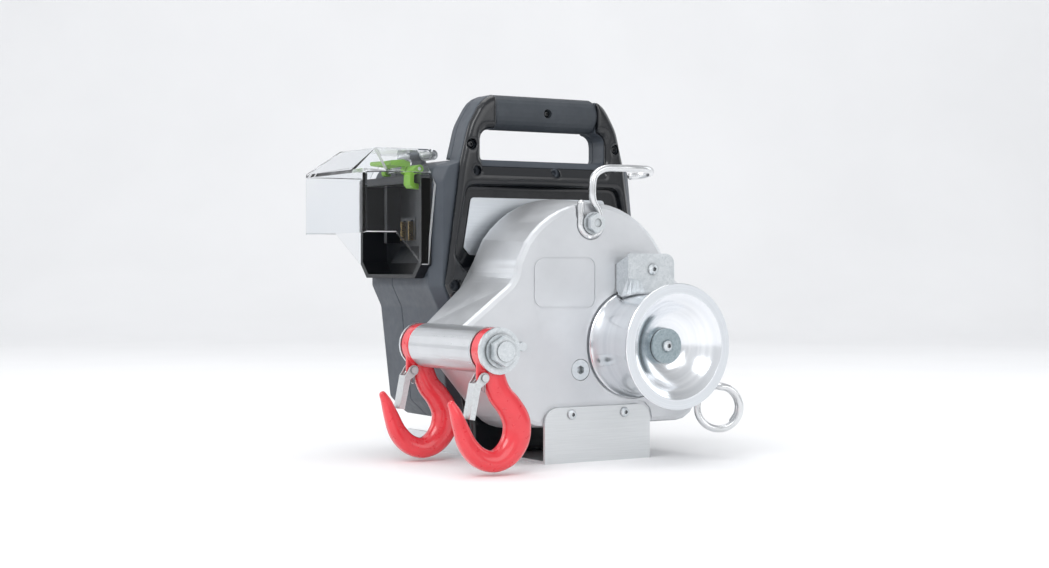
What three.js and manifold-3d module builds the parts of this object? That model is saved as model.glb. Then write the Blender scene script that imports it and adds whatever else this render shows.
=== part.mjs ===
// Portable capstan rope puller: battery-driven winch with an aluminium gear case, a capstan drum,
// a moulded housing with a carrying handle and battery dock, two anchor hooks and rope guides.
// Millimetres, +Z up, front (drum side) towards -Y. Origin: on the underside of the base plate.
import * as THREE from 'three';
import { mergeVertices } from 'three/addons/utils/BufferGeometryUtils.js';
import Module from 'manifold-3d';

const wasm = await Module();
wasm.setup();

// ---------------------------------------------------------------- driving dimensions
const GAP = 0.3;                                   // clearance between touching pieces

const FACE_Y = -60;                                // front face of the gear case
const CASE_BACK_Y = 0;                             // rear lip of the gear case
const DRUM = { x: 36, z: 88.6, barrel: 38, rear: 41.3, front: 47.2, frontY: -119.9, hubY: -102 };
const CASE = { x: 0, z: 122.9, radius: 73.8, bottom: 27.4, right: 97.5, flare: 4.5 };
const ANCHOR = { x: -111, z: 88.6, tube: 16.7, frontY: -93, backY: 0, bolt: 6 };
const HOOK_EYE = { radius: 16.3, half: 5.5 };
const FRONT_HOOK_Y = -100.6;
const REAR_HOOK_Y = 7.6;

const MID_X = -2;                                  // symmetry plane of the moulded housing
const SHELL_FRONT_Y = 6;
const SEAM_FRONT_Y = 12;
const SEAM_REAR_Y = 82;
const HOUSING_BACK_Y = 127;
const HOUSING_TOP = 231.6;
const HOUSING_BOTTOM = 26.6;
const HANDLE_TOP = 283.1;
const HANDLE_SEAM_Y = 28;
const HANDLE_BACK_Y = 38;
const GRIP = { y: 20.5, z: 269.3, radius: 13.9, half: 47, bar: 8.4 };
const HOLE = { half: 58, low: 231.4, high: 255.4 };

const DOCK = { front: 17, back: 124, low: 139, high: 219, lip: -108, wall: -100, floor: -86 };
const COVER = { left: -157, right: -100, front: 15, back: 126, eave: 222, ridge: 240, wall: 2 };
const HINGE = { x: -83, z: 236, pin: 1.5, knuckle: 4 };

const PLATE = { left: -68, right: 74, tabLeft: -44.8, tabRight: 50.8, frontY: -61.4, backY: 118, t: 2.3 };

const STAGE1 = { module: 2.3, pinion: 12, wheel: 48 };
const MOTOR = { x: -32, radius: 30, frontY: 16.5, backY: 78 };
MOTOR.z = CASE.z - Math.sqrt(((STAGE1.pinion + STAGE1.wheel) * STAGE1.module / 2) ** 2 - MOTOR.x ** 2);
const STAGE2 = { pinion: 12, wheel: 40 };
STAGE2.module = 2 * Math.hypot(DRUM.x - CASE.x, DRUM.z - CASE.z) / (STAGE2.pinion + STAGE2.wheel);

// ---------------------------------------------------------------- finishes
const finish = (color, roughness, metalness) => ({ color, roughness, metalness });
const CAST = finish(0xc9ccd0, 0.45, 0.9);
const TURNED = finish(0xdfe2e6, 0.2, 1.0);
const ZINC = finish(0xc4cacd, 0.35, 0.9);
const STEEL = finish(0xb9bdc1, 0.3, 1.0);
const RED = finish(0xd8202c, 0.25, 0.1);
const BLACK = finish(0x0d0e10, 0.3, 0.0);
const GREY = finish(0x3a3f45, 0.55, 0.0);
const RUBBER = finish(0x2c3035, 0.8, 0.0);
const GREEN = finish(0x6fb52a, 0.45, 0.0);
const CLEAR = finish(0xe8eef0, 0.1, 0.0);
const BRASS = finish(0xc7a24a, 0.35, 1.0);

// ---------------------------------------------------------------- shape helpers
// closed outline with rounded corners; a corner is [u, v, radius] and gets the same number of points
function rounded(corners, segments = 4) {
  const points = [];
  const count = corners.length;
  for (let i = 0; i < count; i += 1) {
    const [u, v, radius = 0] = corners[i];
    const before = corners[(i + count - 1) % count];
    const after = corners[(i + 1) % count];
    const a = new THREE.Vector2(before[0] - u, before[1] - v);
    const b = new THREE.Vector2(after[0] - u, after[1] - v);
    if (radius === 0) {
      points.push([u, v]);
      continue;
    }
    const half = Math.acos(THREE.MathUtils.clamp(a.dot(b) / (a.length() * b.length()), -1, 1)) / 2;
    const reach = radius / Math.tan(half);
    a.normalize();
    b.normalize();
    const middle = a.clone().add(b).normalize().multiplyScalar(radius / Math.sin(half));
    const centre = new THREE.Vector2(u, v).add(middle);
    const start = new THREE.Vector2(u, v).addScaledVector(a, reach).sub(centre);
    const end = new THREE.Vector2(u, v).addScaledVector(b, reach).sub(centre);
    let turn = end.angle() - start.angle();
    turn = Math.atan2(Math.sin(turn), Math.cos(turn));
    for (let k = 0; k <= segments; k += 1) {
      const angle = start.angle() + turn * k / segments;
      points.push([centre.x + radius * Math.cos(angle), centre.y + radius * Math.sin(angle)]);
    }
  }
  return points;
}

function arc(cu, cv, radius, fromDeg, toDeg, segments) {
  const points = [];
  for (let k = 0; k <= segments; k += 1) {
    const angle = THREE.MathUtils.degToRad(fromDeg + (toDeg - fromDeg) * k / segments);
    points.push([cu + radius * Math.cos(angle), cv + radius * Math.sin(angle)]);
  }
  return points;
}

// outline moved outwards by a distance, or by a function of the point
function grow(outline, distance) {
  const area = THREE.ShapeUtils.area(outline.map(([u, v]) => ({ x: u, y: v })));
  const side = area > 0 ? 1 : -1;
  return outline.map(([u, v], i) => {
    const [pu, pv] = outline[(i + outline.length - 1) % outline.length];
    const [nu, nv] = outline[(i + 1) % outline.length];
    const first = new THREE.Vector2(v - pv, pu - u).normalize().multiplyScalar(side);
    const second = new THREE.Vector2(nv - v, u - nu).normalize().multiplyScalar(side);
    const normal = first.clone().add(second).normalize();
    const miter = 1 / Math.max(0.5, normal.dot(first));
    const amount = (typeof distance === 'function' ? distance(u, v) : distance) * miter;
    return [u + normal.x * amount, v + normal.y * amount];
  });
}

const atY = (outline, y) => outline.map(([u, v]) => new THREE.Vector3(u, y, v));
const atX = (outline, x) => outline.map(([u, v]) => new THREE.Vector3(x, u, v));
const atZ = (outline, z) => outline.map(([u, v]) => new THREE.Vector3(u, v, z));

function capTriangles(ring) {
  const normal = new THREE.Vector3();
  ring.forEach((point, i) => {
    const next = ring[(i + 1) % ring.length];
    normal.x += (point.y - next.y) * (point.z + next.z);
    normal.y += (point.z - next.z) * (point.x + next.x);
    normal.z += (point.x - next.x) * (point.y + next.y);
  });
  const size = [Math.abs(normal.x), Math.abs(normal.y), Math.abs(normal.z)];
  const drop = size.indexOf(Math.max(...size));
  const flat = ring.map((p) => {
    if (drop === 0) return new THREE.Vector2(p.y, p.z);
    if (drop === 1) return new THREE.Vector2(p.z, p.x);
    return new THREE.Vector2(p.x, p.y);
  });
  return THREE.ShapeUtils.triangulateShape(flat, []);
}

function solid(geometry) {
  const bare = geometry.clone();
  bare.deleteAttribute('normal');
  bare.deleteAttribute('uv');
  const merged = mergeVertices(bare, 1e-4);
  const body = new wasm.Manifold(new wasm.Mesh({
    numProp: 3,
    vertProperties: new Float32Array(merged.attributes.position.array),
    triVerts: new Uint32Array(merged.index.array),
  }));
  return body;
}

// closed body through rings that all have the same number of points
function loft(rings) {
  const count = rings[0].length;
  const build = (flip) => {
    const position = rings.flat().flatMap((p) => [p.x, p.y, p.z]);
    const index = [];
    const face = (a, b, c) => index.push(...(flip ? [a, c, b] : [a, b, c]));
    for (let r = 0; r + 1 < rings.length; r += 1) {
      for (let i = 0; i < count; i += 1) {
        const j = (i + 1) % count;
        face(r * count + i, r * count + j, (r + 1) * count + j);
        face(r * count + i, (r + 1) * count + j, (r + 1) * count + i);
      }
    }
    const last = (rings.length - 1) * count;
    const edges = new Set();
    for (let t = 0; t < index.length; t += 3) {
      for (let e = 0; e < 3; e += 1) edges.add(`${index[t + e]}_${index[t + (e + 1) % 3]}`);
    }
    for (const [ring, offset] of [[rings[0], 0], [rings[rings.length - 1], last]]) {
      const triangles = capTriangles(ring);
      const [a, b, c] = triangles.find((t) => t.some((v, e) => (v + 1) % count === t[(e + 1) % 3]
        || (t[(e + 1) % 3] + 1) % count === v));
      const clash = [[a, b], [b, c], [c, a]].some(([p, q]) => edges.has(`${p + offset}_${q + offset}`));
      for (const [p, q, s] of triangles) {
        if (clash) index.push(p + offset, s + offset, q + offset);
        else index.push(p + offset, q + offset, s + offset);
      }
    }
    const geometry = new THREE.BufferGeometry();
    geometry.setAttribute('position', new THREE.Float32BufferAttribute(position, 3));
    geometry.setIndex(index);
    return solid(geometry);
  };
  const body = build(false);
  return body.volume() > 0 ? body : build(true);
}

const slabY = (outline, y0, y1) => loft([atY(outline, y0), atY(outline, y1)]);
const slabX = (outline, x0, x1) => loft([atX(outline, x0), atX(outline, x1)]);
const slabZ = (outline, z0, z1) => loft([atZ(outline, z0), atZ(outline, z1)]);

function box(x0, x1, y0, y1, z0, z1) {
  const geometry = new THREE.BoxGeometry(x1 - x0, y1 - y0, z1 - z0);
  geometry.translate((x0 + x1) / 2, (y0 + y1) / 2, (z0 + z1) / 2);
  return solid(geometry);
}

// round bars along Y and X
function barY(x, z, radius, y0, y1, sides = 20) {
  const geometry = new THREE.CylinderGeometry(radius, radius, y1 - y0, sides);
  geometry.translate(x, (y0 + y1) / 2, z);
  return solid(geometry);
}

function barX(y, z, radius, x0, x1, sides = 20) {
  const geometry = new THREE.CylinderGeometry(radius, radius, x1 - x0, sides);
  geometry.rotateZ(-Math.PI / 2);
  geometry.translate((x0 + x1) / 2, y, z);
  return solid(geometry);
}

// body of revolution about the Y axis, whichever way round its profile runs
function lathe(points, sides) {
  const body = solid(new THREE.LatheGeometry(points, sides));
  return body.volume() > 0 ? body : solid(new THREE.LatheGeometry([...points].reverse(), sides));
}

// turned ring or hub about an axis along Y; profile rows are [radius, y]
function turned(profile, x, z, sides = 48) {
  const points = profile.map(([r, y]) => new THREE.Vector2(r, y));
  return lathe([...points, points[0]], sides).translate(x, 0, z);
}

// round wire along a path
function wire(path, radius, steps, sides = 10) {
  const section = new THREE.Shape(arc(0, 0, radius, 0, 360 - 360 / sides, sides - 1)
    .map(([u, v]) => new THREE.Vector2(u, v)));
  return solid(new THREE.ExtrudeGeometry(section, { extrudePath: path, steps, bevelEnabled: false }));
}

const join = (first, ...others) => others.reduce((body, other) => body.add(other), first);
const cut = (first, ...others) => others.reduce((body, other) => body.subtract(other), first);

const root = new THREE.Group();

function add(name, body, look, parent = root) {
  const { vertProperties, triVerts } = body.getMesh();
  const geometry = new THREE.BufferGeometry();
  geometry.setAttribute('position', new THREE.BufferAttribute(vertProperties, 3));
  geometry.setIndex(new THREE.BufferAttribute(triVerts, 1));
  geometry.computeVertexNormals();
  const mesh = new THREE.Mesh(geometry, new THREE.MeshStandardMaterial(look));
  mesh.name = name;
  parent.add(mesh);
  return mesh;
}

// ---------------------------------------------------------------- gear case
const UPPER_BOLT = { x: -3, z: 181 };
const LOWER_BOLT = { x: 82, z: 61 };
const OIL_PLUG = { x: -12.1, z: 69.8 };
const VENT_PLUG = { x: -65, z: 88.8 };
const BASE_SCREWS = [{ x: -21, z: 36.4 }, { x: 27, z: 36.4 }];
const BRACKET_SCREW = { x: 42.3, z: 146 };

function caseOutline() {
  return rounded([
    [-57, CASE.bottom, 30],
    [CASE.right, CASE.bottom, 18.6],
    [CASE.right, 124, 34],
    [73.5, 140.5, 6],
    ...arc(CASE.x, CASE.z, CASE.radius, 17, 144, 17),
    [-67.3, 151, 14],
    [-69, 138.2, 20],
    [-113, 104.5],
    [-116, 89],
  ], 4);
}

// the case widens towards its rear lip, except where it meets the anchor tube
const flare = (amount) => (u) => amount * THREE.MathUtils.clamp((u + 97) / 25, 0, 1);

function gearCase() {
  const outline = caseOutline();
  const shell = loft([
    atY(grow(outline, -4), FACE_Y),
    atY(grow(outline, -1.2), FACE_Y + 1.2),
    atY(outline, FACE_Y + 4),
    atY(grow(outline, flare(CASE.flare)), CASE_BACK_Y - 4),
    atY(grow(outline, flare(CASE.flare)), CASE_BACK_Y),
  ]);
  const tube = barY(ANCHOR.x, ANCHOR.z, ANCHOR.tube, ANCHOR.frontY, ANCHOR.backY, 40);
  const wallY = FACE_Y + 7;
  const backY = CASE_BACK_Y + 1;
  const gearRoom = join(
    barY(CASE.x, CASE.z, CASE.radius - 6.5, wallY, backY, 32),
    slabY(rounded([
      [-46, 35, 20], [90, 35, 14], [90, 116, 28], [60, 140], [-60, 140], [-84, 112], [-84, 74],
    ], 3), wallY, backY),
  );
  const bosses = join(
    barY(DRUM.x, DRUM.z, 23, wallY - 0.5, -44),
    barY(CASE.x, CASE.z, 11, wallY - 0.5, -46, 20),
  );
  const flangePocket = slabY(rounded([
    [PLATE.tabLeft - 3, 20], [PLATE.tabRight + 3, 20],
    [PLATE.tabRight + 3, 45, 13], [PLATE.tabLeft - 3, 45, 13],
  ], 3), FACE_Y - 1, FACE_Y + 1.2);
  const emblemOutline = (inset) => rounded([
    [-54 + inset, 116.6 + inset, 7], [1 - inset, 116.6 + inset, 7],
    [1 - inset, 155.2 - inset, 7], [-54 + inset, 155.2 - inset, 7],
  ], 3);
  const emblemPanel = cut(
    slabY(emblemOutline(0), FACE_Y - 1, FACE_Y + 0.7),
    slabY(emblemOutline(1.2), FACE_Y, FACE_Y + 1),
  );
  const eyeSeat = (bolt, tail) => join(
    barY(bolt.x, bolt.z, 12.7, FACE_Y - 6, FACE_Y + 3, 24),
    slabY(tail, FACE_Y - 6, FACE_Y + 3),
  );
  const upperSeat = eyeSeat(UPPER_BOLT, [[-12.7, 176], [9.7, 181], [4, 204], [-16.4, 204], [-16.4, 187]]);
  let body = join(shell, tube);
  body = cut(body, gearRoom);
  body = join(body, bosses, barY(BRACKET_SCREW.x, BRACKET_SCREW.z, 6, -74.6, FACE_Y + 1, 16));
  body = cut(
    body,
    flangePocket,
    emblemPanel,
    upperSeat,
    barY(LOWER_BOLT.x, LOWER_BOLT.z, 12.7, FACE_Y - 6, FACE_Y + 3, 24),
    barY(LOWER_BOLT.x + 4.5, LOWER_BOLT.z - 2.5, 11.5, FACE_Y - 6, FACE_Y + 3, 24),
    barY(ANCHOR.x, ANCHOR.z, ANCHOR.bolt + GAP, ANCHOR.frontY - 1, ANCHOR.backY + 1, 24),
    barY(DRUM.x, DRUM.z, DRUM.rear + 1.4, FACE_Y - 1, FACE_Y + 2.5, 44),
    barY(DRUM.x, DRUM.z, 18.3, FACE_Y + 5, -43, 24),
    barY(DRUM.x, DRUM.z, 12, FACE_Y - 1, -43),
    barY(CASE.x, CASE.z, 6 + GAP, FACE_Y + 3, -45, 20),
    barY(OIL_PLUG.x, OIL_PLUG.z, 8.3, FACE_Y - 1, FACE_Y + 3.5, 20),
    barY(OIL_PLUG.x, OIL_PLUG.z, 5.3, FACE_Y - 1, FACE_Y + 9, 12),
    barY(VENT_PLUG.x, VENT_PLUG.z, 2.8, FACE_Y - 1, FACE_Y + 9, 12),
    barY(UPPER_BOLT.x, UPPER_BOLT.z, 4.2, FACE_Y - 1, FACE_Y + 6.5, 10),
    barY(LOWER_BOLT.x, LOWER_BOLT.z, 4.2, FACE_Y - 1, FACE_Y + 6.5, 10),
    barY(BRACKET_SCREW.x, BRACKET_SCREW.z, 2.4, -76, -62, 8),
    ...BASE_SCREWS.map((at) => barY(at.x, at.z, 2.4, FACE_Y - 1, FACE_Y + 6.5, 8)),
  );
  return body;
}
add('gear_case', gearCase(), CAST);

function gearCaseCover() {
  const outline = rounded([
    [-57, CASE.bottom, 28],
    [CASE.right, CASE.bottom, 18.6],
    [CASE.right, 124, 34],
    [73.5, 140.5, 6],
    ...arc(CASE.x, CASE.z, CASE.radius, 17, 150, 16),
    [-88, 118],
    [-91, 74],
  ], 3);
  return cut(
    slabY(outline, CASE_BACK_Y + GAP, SHELL_FRONT_Y - GAP),
    barY(MOTOR.x, MOTOR.z, 12, -1, 7, 28),
    barY(CASE.x, CASE.z, 6 + GAP, -1, 7, 24),
  );
}
add('gear_case_cover', gearCaseCover(), CAST);

function bearingPlate() {
  const outline = rounded([[-42, 40, 15], [84, 40, 10], [84, 112, 25], [54, 146, 20], [-50, 146, 20]], 2);
  return cut(
    slabY(outline, -28, -20),
    barY(DRUM.x, DRUM.z, 18.4, -29, -19, 24),
    barY(CASE.x, CASE.z, 8, -29, -19, 16),
  );
}
add('bearing_plate', bearingPlate(), CAST);

function bearing(y0, y1) {
  return cut(barY(DRUM.x, DRUM.z, 18, y0, y1, 24), barY(DRUM.x, DRUM.z, 10, y0 - 1, y1 + 1, 20));
}
add('output_bearing_front', bearing(FACE_Y + 5 + GAP, -44.4), STEEL);
add('output_bearing_rear', bearing(-28, -20), STEEL);

// ---------------------------------------------------------------- drum and gear train
function capstanDrum() {
  const { rear, barrel, front, frontY, hubY } = DRUM;
  const tailY = FACE_Y + 2.5 - GAP;
  return turned([
    [10, tailY], [rear, tailY], [rear, -61.6], [barrel + 1.3, -65], [barrel, -71],
    [barrel, -100], [barrel + 1.2, -108], [barrel + 4.4, -114], [front, -118.2], [front, frontY],
    [39, frontY], [31.5, -113.5], [24, -106.6], [18.5, -103.4], [14, hubY], [10, hubY],
  ], DRUM.x, DRUM.z, 48);
}
add('capstan_drum', capstanDrum(), TURNED);

function hexBar(x, z, across, y0, y1) {
  return barY(x, z, across / Math.sqrt(3), y0, y1, 6);
}

// button-head screw pointing towards +Y; head stands in front of seatY
function buttonScrew(x, z, seatY, head, height, shank, length) {
  const profile = [
    [0, seatY - height], [head * 0.55, seatY - height * 0.93], [head * 0.88, seatY - height * 0.5],
    [head, seatY], [shank, seatY], [shank, seatY + length], [0, seatY + length],
  ];
  const points = profile.map(([r, y]) => new THREE.Vector2(r, y));
  const body = lathe(points, 12).translate(x, 0, z);
  return cut(body, hexBar(x, z, head * 0.7, seatY - height - 1, seatY - height * 0.35));
}

add('drum_washer', cut(
  barY(DRUM.x, DRUM.z, 13.2, DRUM.hubY - GAP - 2.5, DRUM.hubY - GAP, 28),
  barY(DRUM.x, DRUM.z, 2.8, DRUM.hubY - 4, DRUM.hubY + 1, 12),
), ZINC);
add('drum_screw', buttonScrew(DRUM.x, DRUM.z, DRUM.hubY - 2 * GAP - 2.5, 4.4, 2.6, 2.4, 14), ZINC);

function outputShaft() {
  return cut(
    barY(DRUM.x, DRUM.z, 9.6, DRUM.hubY + GAP, -20.5, 20),
    barY(DRUM.x, DRUM.z, 2.8, DRUM.hubY - 1, DRUM.hubY + 14, 12),
  );
}
add('output_shaft', outputShaft(), STEEL);

// spur gear: root and tip points repeated for each tooth; phase turns it into mesh
function spurGear(x, z, teeth, module, y0, y1, bore, phase) {
  const pitch = teeth * module / 2;
  const tooth = 2 * Math.PI / teeth;
  const outline = [];
  for (let i = 0; i < teeth; i += 1) {
    const middle = phase + i * tooth;
    for (const [radius, share] of [
      [pitch - 1.2 * module, -0.37], [pitch + 0.9 * module, -0.09],
      [pitch + 0.9 * module, 0.09], [pitch - 1.2 * module, 0.37],
    ]) {
      const angle = middle + share * tooth;
      outline.push([x + radius * Math.cos(angle), z + radius * Math.sin(angle)]);
    }
  }
  return cut(slabY(outline, y0, y1), barY(x, z, bore, y0 - 1, y1 + 1, 16));
}

const STAGE1_Y = [-17, -8];
const STAGE2_Y = [-42, -30];
const toMotor = Math.atan2(MOTOR.z - CASE.z, MOTOR.x - CASE.x);
const toDrum = Math.atan2(DRUM.z - CASE.z, DRUM.x - CASE.x);
add('intermediate_gear', spurGear(
  CASE.x, CASE.z, STAGE1.wheel, STAGE1.module, ...STAGE1_Y, 6 + GAP, toMotor), STEEL);
add('motor_pinion', spurGear(
  MOTOR.x, MOTOR.z, STAGE1.pinion, STAGE1.module, ...STAGE1_Y, 4 + GAP,
  toMotor + Math.PI + Math.PI / STAGE1.pinion), STEEL);
add('intermediate_pinion', spurGear(
  CASE.x, CASE.z, STAGE2.pinion, STAGE2.module, ...STAGE2_Y, 6 + GAP, toDrum), STEEL);
add('output_gear', spurGear(
  DRUM.x, DRUM.z, STAGE2.wheel, STAGE2.module, ...STAGE2_Y, 10,
  toDrum + Math.PI + Math.PI / STAGE2.wheel), STEEL);
add('intermediate_shaft', barY(CASE.x, CASE.z, 5.9, FACE_Y + 3 + GAP, 5.2, 16), STEEL);

// ---------------------------------------------------------------- moulded housing
// half-width of the front shell at each height, from the base up to the handle
const frontEdge = (inset = 0) => {
  const half = [
    [69 - inset, 3.2], [70 - inset, 26], [82 - inset, 72, 6], [83.5 - inset, 121, 3], [89.3 - inset, 134, 3],
    [76.5 - inset, 226, 60], [68.5 - inset, 258, 34], [54 - inset, HANDLE_TOP - inset, 22],
  ];
  const right = half.map(([u, v, r = 0.5]) => [MID_X + u, v, r]);
  const left = half.map(([u, v, r = 0.5]) => [MID_X - u, v, r]).reverse();
  return rounded([...right, ...left], 4);
};

const holeOutline = (inset = 0) => rounded([
  [MID_X - HOLE.half - inset, HOLE.low - inset, 4], [MID_X + HOLE.half + inset, HOLE.low - inset, 4],
  [MID_X + HOLE.half + inset, HOLE.high + inset, 9], [MID_X - HOLE.half - inset, HOLE.high + inset, 9],
], 4);

const panelOutline = (inset = 0) => rounded([
  [MID_X - 81 + inset, 157, 8], [MID_X - 72 + inset, 146 + inset, 6],
  [MID_X + 72 - inset, 146 + inset, 6], [MID_X + 81 - inset, 157, 8],
  [MID_X + 70 - inset, 211 - inset, 7], [MID_X - 70 + inset, 211 - inset, 7],
], 2);

const GRIP_SCREW = { x: 0, z: GRIP.z };
const POST_SCREWS = [{ x: -68.5, z: 243 }, { x: 64.5, z: 243 }];
const SHELF_SCREWS = [{ x: -64, z: 222.5 }, { x: 9, z: 222.5 }];
const SIDE_SCREWS = [{ x: -83.5, z: 133.5 }, { x: 79.5, z: 133.5 }];

function gripRoom(y0, y1) {
  return box(MID_X + 2 - GRIP.half - GAP, MID_X + 2 + GRIP.half + GAP, y0, y1, HOLE.high - 4, HANDLE_TOP + 5);
}

function frontShell() {
  const plate = loft([
    atY(frontEdge(4.8), SHELL_FRONT_Y),
    atY(frontEdge(1.9), SHELL_FRONT_Y + 1.1),
    atY(frontEdge(0.4), SHELL_FRONT_Y + 3.2),
    atY(frontEdge(0), SHELL_FRONT_Y + 5.2),
    atY(frontEdge(0), SEAM_FRONT_Y - GAP),
  ]);
  const hole = loft([
    atY(holeOutline(5.2), SHELL_FRONT_Y - 0.5),
    atY(holeOutline(1.9), SHELL_FRONT_Y + 1.4),
    atY(holeOutline(0.3), SHELL_FRONT_Y + 3.6),
    atY(holeOutline(0), SHELL_FRONT_Y + 5.2),
    atY(holeOutline(0), SEAM_FRONT_Y + 1),
  ]);
  const pan = slabY(panelOutline(-2.5), SEAM_FRONT_Y - 2, SEAM_FRONT_Y + 4.5);
  const recess = loft([
    atY(panelOutline(-2.5), SHELL_FRONT_Y - 0.5),
    atY(panelOutline(0), SHELL_FRONT_Y + 2.5),
    atY(panelOutline(0), SEAM_FRONT_Y + 2),
  ]);
  const shelf = slabX([
    [SHELL_FRONT_Y - 1, 217.5], [SHELL_FRONT_Y - 1, 240], [SEAM_FRONT_Y + 1, 240], [SEAM_FRONT_Y + 1, 230],
  ], MID_X - HOLE.half, MID_X + HOLE.half);
  const screwHole = (at, radius) => barY(at.x, at.z, radius, SHELL_FRONT_Y - 2, SEAM_FRONT_Y + 1, 16);
  return cut(
    join(plate, pan),
    hole, recess, shelf, gripRoom(SHELL_FRONT_Y - 1, SEAM_FRONT_Y + 1),
    barY(MOTOR.x, MOTOR.z, 13, SHELL_FRONT_Y - 1, SEAM_FRONT_Y + 6, 28),
    ...POST_SCREWS.map((at) => screwHole(at, 4)),
    ...SHELF_SCREWS.map((at) => screwHole(at, 3.6)),
    ...SIDE_SCREWS.map((at) => screwHole(at, 4)),
  );
}
add('front_shell', frontShell(), BLACK);

// outline of the housing body; the left side bulges out around the battery dock
function bodyOutline(inset) {
  return rounded([
    [MID_X - 66 + inset, HOUSING_BOTTOM, 6], [MID_X + 66 - inset, HOUSING_BOTTOM, 6],
    [MID_X + 81 - inset, 41, 6], [MID_X + 88 - inset, 110, 10], [MID_X + 91 - inset, 190, 30],
    [MID_X + 87 - inset, HOUSING_TOP - 4, 5], [MID_X + 72 - inset / 2, HOUSING_TOP, 5],
    [MID_X - 72 + inset / 2, HOUSING_TOP, 5], [-94.5 + inset, 226, 5], [-100 + inset, 214, 6],
    [-100 + inset, 133, 4], [-92 + inset, 116, 5], [-83.5 + inset, 41, 6],
  ], 2);
}

const innerRoom = (y0, y1) => slabY([
  [-66, HOUSING_BOTTOM + 3], [62, HOUSING_BOTTOM + 3], [76, 43], [83, 110], [85.5, 190], [82, 225],
  [68, HOUSING_TOP - 3], [-72, HOUSING_TOP - 3], [-91, 224], [-97, 213], [-97, 134], [-89, 117], [-80.5, 43],
], y0, y1);

function handleOutline() {
  const foot = HOUSING_TOP - 35;
  return [[MID_X + 80, foot], ...frontEdge(0).filter(([, v]) => v > foot + 10), [MID_X - 80, foot]];
}

function handleRing(y0, y1, roundRear) {
  const outline = handleOutline();
  const rings = roundRear
    ? [atY(outline, y0), atY(outline, y1 - 4), atY(grow(outline, -1.2), y1 - 1.2), atY(grow(outline, -4), y1)]
    : [atY(outline, y0), atY(outline, y1)];
  return loft(rings);
}

function dockOpening(grown) {
  const { front, back, low, high } = DOCK;
  return rounded([
    [front + 14 - grown, low + 3 - grown], [back - 14 + grown, low + 3 - grown],
    [back - 4 + grown, low + 13 - grown], [back - 4 + grown, high - 6 + grown],
    [front + 4 - grown, high - 6 + grown], [front + 4 - grown, low + 13 - grown],
  ], 2);
}

function middleShell() {
  const chamfer = 8;
  const body = loft([
    atY(bodyOutline(chamfer), SEAM_FRONT_Y),
    atY(bodyOutline(0), SEAM_FRONT_Y + chamfer),
    atY(bodyOutline(0), SEAM_REAR_Y - GAP),
  ]);
  const pedestal = slabZ(rounded([[-50, 16, 4], [46, 16, 4], [46, 78, 4], [-50, 78, 4]], 2),
    PLATE.t + GAP, HOUSING_BOTTOM + 1);
  const hole = slabY(holeOutline(0), SEAM_FRONT_Y - 1, HANDLE_SEAM_Y + 1);
  const bar = barX(GRIP.y, GRIP.z, GRIP.bar, -GRIP.half - 2, GRIP.half + 2, 28)
    .intersect(box(-60, 60, 0, GRIP.y - GAP / 2, HOLE.high, HANDLE_TOP));
  const knuckleWeb = box(HINGE.x - 2, HINGE.x + 3, 62, 79, HOUSING_TOP - 5, HINGE.z);
  let shell = join(body, handleRing(SEAM_FRONT_Y, HANDLE_SEAM_Y - GAP, false), pedestal);
  shell = cut(shell, hole, gripRoom(SEAM_FRONT_Y - 1, HANDLE_SEAM_Y + 1));
  shell = join(shell, bar, knuckleWeb, barY(HINGE.x, HINGE.z, HINGE.knuckle, 62, 79, 16));
  const panRoom = slabY(panelOutline(-2.9), SEAM_FRONT_Y - 1, SEAM_FRONT_Y + 5);
  return cut(
    shell,
    innerRoom(SEAM_FRONT_Y + 7, SEAM_REAR_Y + 1),
    barY(MOTOR.x, MOTOR.z, MOTOR.radius + 1, SEAM_FRONT_Y + 4, SEAM_FRONT_Y + 9, 32),
    panRoom,
    slabX(dockOpening(2.4), -104, -84),
    barY(HINGE.x, HINGE.z, HINGE.pin + GAP, 60, 81, 10),
    barY(MOTOR.x, MOTOR.z, 13, SEAM_FRONT_Y - 1, SEAM_FRONT_Y + 6, 28),
    barY(GRIP_SCREW.x, GRIP_SCREW.z, 2.2, GRIP.y - 12, GRIP.y + 2, 16),
    ...POST_SCREWS.map((at) => barY(at.x, at.z, 2.2, SEAM_FRONT_Y - 1, SEAM_FRONT_Y + 12, 10)),
    ...SHELF_SCREWS.map((at) => barY(at.x, at.z, 2.2, SEAM_FRONT_Y - 1, SEAM_FRONT_Y + 2.6, 10)),
    ...SIDE_SCREWS.map((at) => barY(at.x, at.z, 2.2, SEAM_FRONT_Y - 1, SEAM_FRONT_Y + 2.6, 10)),
  );
}
add('middle_shell', middleShell(), GREY);

function handleRearShell() {
  const body = handleRing(HANDLE_SEAM_Y, HANDLE_BACK_Y, true);
  const above = box(-120, 120, HANDLE_SEAM_Y - 1, HANDLE_BACK_Y + 1, HOUSING_TOP + GAP, HANDLE_TOP + 5);
  const halfBar = barX(GRIP.y, GRIP.z, GRIP.bar, -GRIP.half - 4, GRIP.half + 4, 28).intersect(join(
    box(-GRIP.half, GRIP.half, GRIP.y + GAP / 2, HANDLE_BACK_Y, HOLE.high, HANDLE_TOP),
    box(-60, 60, HANDLE_SEAM_Y, HANDLE_BACK_Y, HOLE.high, HANDLE_TOP),
  ));
  return join(halfBar, cut(
    body.intersect(above),
    loft([
      atY(holeOutline(0), HANDLE_SEAM_Y - 1),
      atY(holeOutline(0), HANDLE_BACK_Y - 4),
      atY(holeOutline(4), HANDLE_BACK_Y + 0.5),
    ]),
    gripRoom(HANDLE_SEAM_Y - 1, HANDLE_BACK_Y + 1),
  ));
}
add('handle_rear_shell', handleRearShell(), GREY);

const BUTTON = { x: -30, z: 196, radius: 9 };
const DIAL = { x: 30, z: 196, radius: 14 };

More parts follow.
